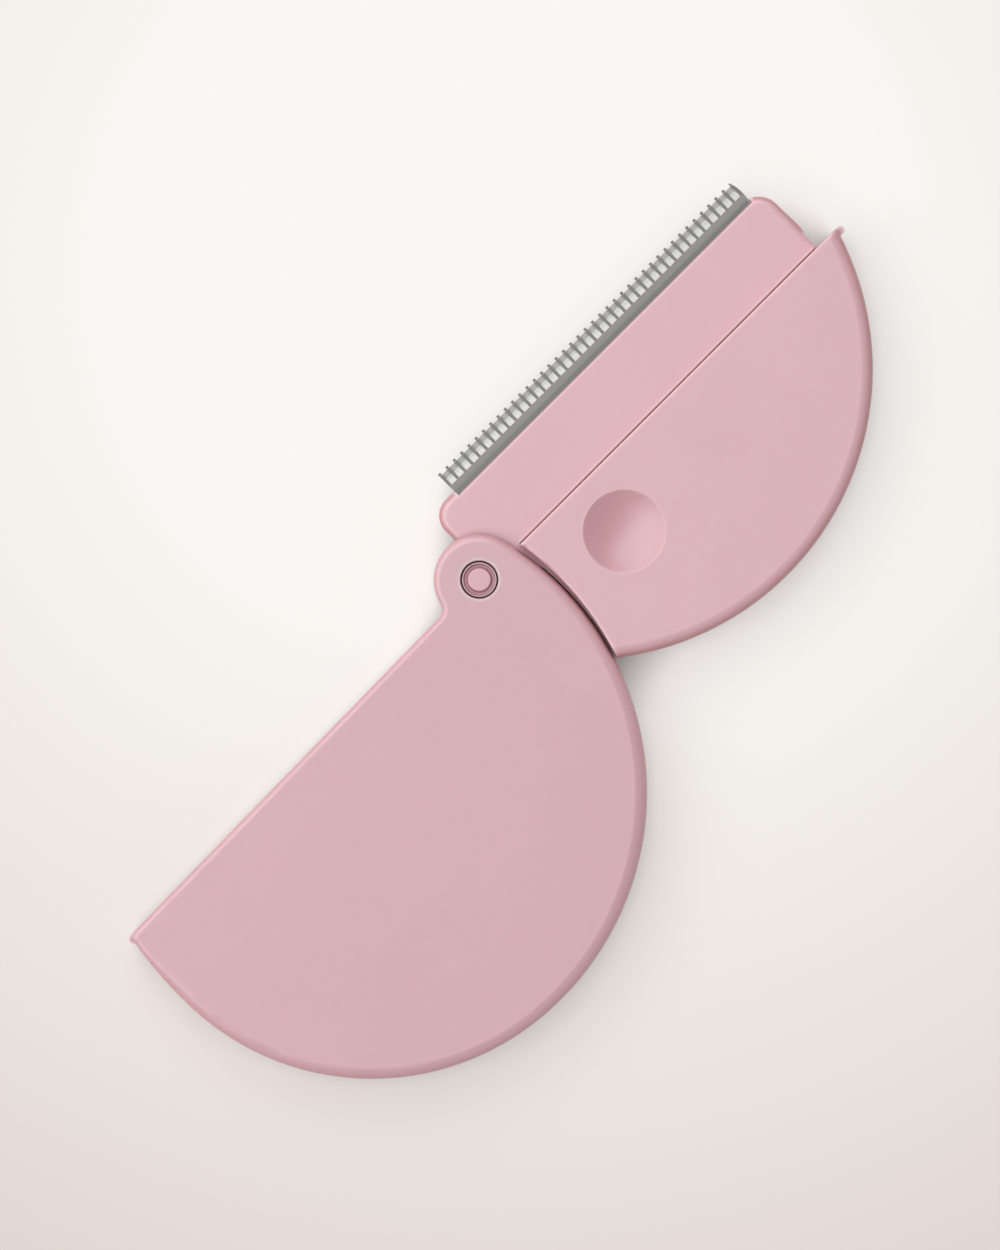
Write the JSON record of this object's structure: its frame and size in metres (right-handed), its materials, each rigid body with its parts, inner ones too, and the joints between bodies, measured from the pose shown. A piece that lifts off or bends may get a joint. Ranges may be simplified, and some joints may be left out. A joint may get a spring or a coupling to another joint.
{
  "type": "folding eyebrow razor",
  "caption": "Folding eyebrow razor: a half-disc case hinged to a half-disc holder with a thumb dimple and a guarded straight blade that folds into the case.",
  "frame": {"origin": "on the hinge axis, in the plane of the back faces that the open razor lies on", "axes": "+X along the blade from the hinge towards the holder's tip, +Y out of the cutting edge, +Z out of the front face with the thumb dimple"},
  "size_m": [0.092, 0.0416, 0.0068],
  "materials": {
    "case_plastic": "satin",
    "holder_plastic": "satin",
    "pin_plastic": "satin",
    "blade_steel": "satin",
    "guard_steel": "satin"
  },
  "bodies": {
    "case": {"case_front_shell": "case_plastic", "case_rear_shell": "case_plastic", "hinge_pin": "pin_plastic"},
    "holder": {"blade_carrier": "holder_plastic", "holder_front_cover": "holder_plastic", "holder_rear_cover": "holder_plastic", "blade": "blade_steel", "blade_guard": "guard_steel"}
  },
  "joints": [
    {"name": "fold", "type": "hinge", "parent": "case", "child": "holder", "pos_m": [0, 0, 0.0034], "axis": [0, 0, 1], "range_deg": [0, 180.8]}
  ]
}
